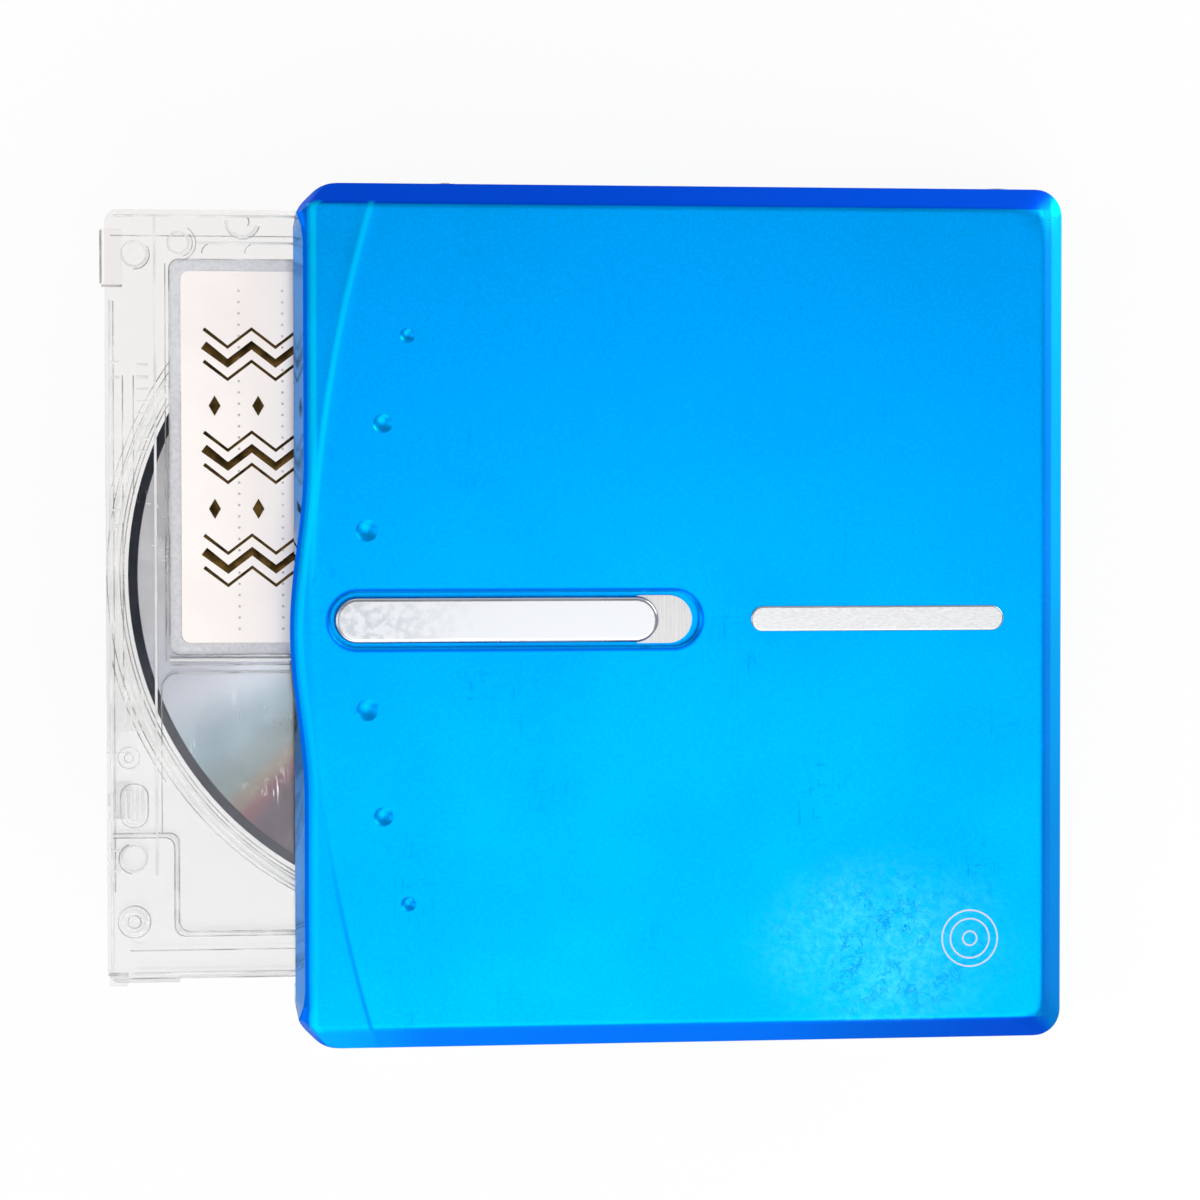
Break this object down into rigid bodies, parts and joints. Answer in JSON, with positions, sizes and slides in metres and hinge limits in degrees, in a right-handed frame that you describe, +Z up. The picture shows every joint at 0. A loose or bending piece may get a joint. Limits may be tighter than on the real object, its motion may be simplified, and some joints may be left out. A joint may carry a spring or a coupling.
{
  "type": "portable minidisc player",
  "caption": "Pocket disc player with a sprung hinged lid, a thumb slider that opens it and a clear cartridge sliding in the lid's holder.",
  "frame": {"origin": "middle of the flat bottom", "axes": "+X from the slot edge to the hinge edge, +Y along the hinge, +Z up"},
  "size_m": [0.0901, 0.0816, 0.0288],
  "materials": {
    "satin_blue": "satin blue anodised metal",
    "satin_silver": "satin silver metal",
    "polished_silver": "bright silver metal with a polished edge",
    "brushed_silver": "cross-brushed silver metal",
    "sheet_steel": "plain sheet steel",
    "spring_steel": "bright spring steel",
    "zinc_screw": "plated screw steel",
    "motor_can": "pressed steel can",
    "black_plastic": "black moulded plastic",
    "rubber_damper": "soft black rubber",
    "magnet": "dark bonded magnet",
    "lens_glass": "clear coated lens",
    "circuit_board": "green circuit board",
    "chip": "black moulded chips",
    "flex_film": "amber polyimide film",
    "brass": "bright brass",
    "battery_wrap": "smooth grey battery sleeve",
    "gold_contact": "gold plated contact",
    "clear_plastic": "clear moulded plastic",
    "paper_label": "cream label with dotted writing lines",
    "disc_face": "mirror disc with a dark rim",
    "white_tab": "translucent white plastic"
  },
  "bodies": {
    "base": {"bottom_cover": "satin_blue", "front_bezel": "satin_silver", "hinge_bar": "satin_silver", "jack_side_wall": "satin_silver", "button_side_wall": "satin_silver", "battery_bay": "black_plastic", "case_screws": "zinc_screw", "hinge_pins": "spring_steel", "lid_spring": "spring_steel", "latch_catches": "spring_steel", "mechanism_chassis": "sheet_steel", "chassis_dampers": "rubber_damper", "chassis_screws": "zinc_screw", "guide_rods": "motor_can", "sled_motor": "motor_can", "spindle_motor": "motor_can", "main_board": "circuit_board", "board_chips": "chip", "flex_cable": "flex_film", "headphone_jack": "black_plastic", "switch_board": "circuit_board", "side_switches": "black_plastic", "disc_sensors": "black_plastic", "battery": "battery_wrap", "battery_contacts": "gold_contact", "battery_door_pin": "spring_steel", "charging_terminals": "gold_contact"},
    "lid": {"lid_cover": "satin_blue", "nameplate": "polished_silver", "slider_end_cap": "brushed_silver", "slider_spring": "spring_steel", "disc_holder": "sheet_steel", "holder_springs": "spring_steel", "lid_side_screws": "zinc_screw"},
    "slider": {"open_slider": "polished_silver", "latch_plate": "sheet_steel", "slider_screws": "zinc_screw"},
    "cartridge": {"cartridge_lower_shell": "clear_plastic", "cartridge_upper_shell": "clear_plastic", "cartridge_label": "paper_label"},
    "shutter": {"shutter": "satin_silver"},
    "write_tab": {"write_protect_tab": "white_tab"},
    "disc": {"disc": "disc_face", "disc_hub": "motor_can"},
    "spindle": {"spindle_shaft": "motor_can", "turntable": "brass", "turntable_magnet": "magnet"},
    "pickup": {"optical_pickup": "black_plastic", "pickup_rack": "black_plastic", "objective_lens": "lens_glass"},
    "lead_screw": {"lead_screw": "brass"},
    "play": {"play_button": "satin_silver"},
    "back": {"back_button": "satin_silver"},
    "forward": {"forward_button": "satin_silver"},
    "volume_up": {"volume_up_button": "satin_silver"},
    "volume_down": {"volume_down_button": "satin_silver"},
    "hold": {"hold_switch": "black_plastic"},
    "door": {"battery_door": "satin_silver"}
  },
  "joints": [
    {"name": "lid_hinge", "type": "hinge", "parent": "base", "child": "lid", "pos_m": [0.0339, 0, 0.0099], "axis": [0, 1, 0], "range_deg": [-10, 0], "stiffness_Nm_per_rad": 0.05, "springref_deg": 51.57, "deforming": ["lid_spring", "latch_catches"]},
    {"name": "cartridge_slide", "type": "slide", "parent": "lid", "child": "cartridge", "axis": [-0.9848, 0, 0.1736], "range_m": [-0.0194, 0.024]},
    {"name": "disc_spin", "type": "hinge", "parent": "cartridge", "child": "disc", "pos_m": [-0.01887, 0.0039, 0.02042], "axis": [0.1736, 0, 0.9848], "continuous": true},
    {"name": "shutter_slide", "type": "slide", "parent": "cartridge", "child": "shutter", "axis": [-0.9848, 0, 0.1736], "range_m": [0, 0.0152]},
    {"name": "write_tab_slide", "type": "slide", "parent": "cartridge", "child": "write_tab", "axis": [0, 1, 0], "range_m": [0, 0.0026]},
    {"name": "open_slider_slide", "type": "slide", "parent": "lid", "child": "slider", "axis": [0.9848, 0, -0.1736], "range_m": [0, 0.0034], "stiffness_N_per_m": 250, "springref_m": -0.001, "deforming": ["slider_spring"]},
    {"name": "turntable_spin", "type": "hinge", "parent": "base", "child": "spindle", "pos_m": [-0.0005, 0.0039, 0.007], "axis": [0, 0, 1], "continuous": true},
    {"name": "pickup_slide", "type": "slide", "parent": "base", "child": "pickup", "axis": [0, -1, 0], "range_m": [0, 0.014]},
    {"name": "lead_screw_spin", "type": "hinge", "parent": "base", "child": "lead_screw", "pos_m": [-0.0158, -0.02, 0.0044], "axis": [0, 1, 0], "continuous": true},
    {"name": "play_press", "type": "slide", "parent": "base", "child": "play", "axis": [0, 1, 0], "range_m": [0, 0.00035], "stiffness_N_per_m": 2000, "springref_m": -0.0003},
    {"name": "back_press", "type": "slide", "parent": "base", "child": "back", "axis": [0, 1, 0], "range_m": [0, 0.00035], "stiffness_N_per_m": 2000, "springref_m": -0.0003},
    {"name": "forward_press", "type": "slide", "parent": "base", "child": "forward", "axis": [0, 1, 0], "range_m": [0, 0.00035], "stiffness_N_per_m": 2000, "springref_m": -0.0003},
    {"name": "volume_up_press", "type": "slide", "parent": "base", "child": "volume_up", "axis": [0, 1, 0], "range_m": [0, 0.00035], "stiffness_N_per_m": 2000, "springref_m": -0.0003},
    {"name": "volume_down_press", "type": "slide", "parent": "base", "child": "volume_down", "axis": [0, 1, 0], "range_m": [0, 0.00035], "stiffness_N_per_m": 2000, "springref_m": -0.0003},
    {"name": "hold_slide", "type": "slide", "parent": "base", "child": "hold", "axis": [1, 0, 0], "range_m": [0, 0.0014]},
    {"name": "battery_door_swing", "type": "hinge", "parent": "base", "child": "door", "pos_m": [0.0333, -0.03985, 0.004], "axis": [0, 0, 1], "range_deg": [0, 95]}
  ],
  "couplings": [
    {"joint": "lead_screw_spin", "follows": "pickup_slide", "rad_per_m": 6283.2}
  ]
}
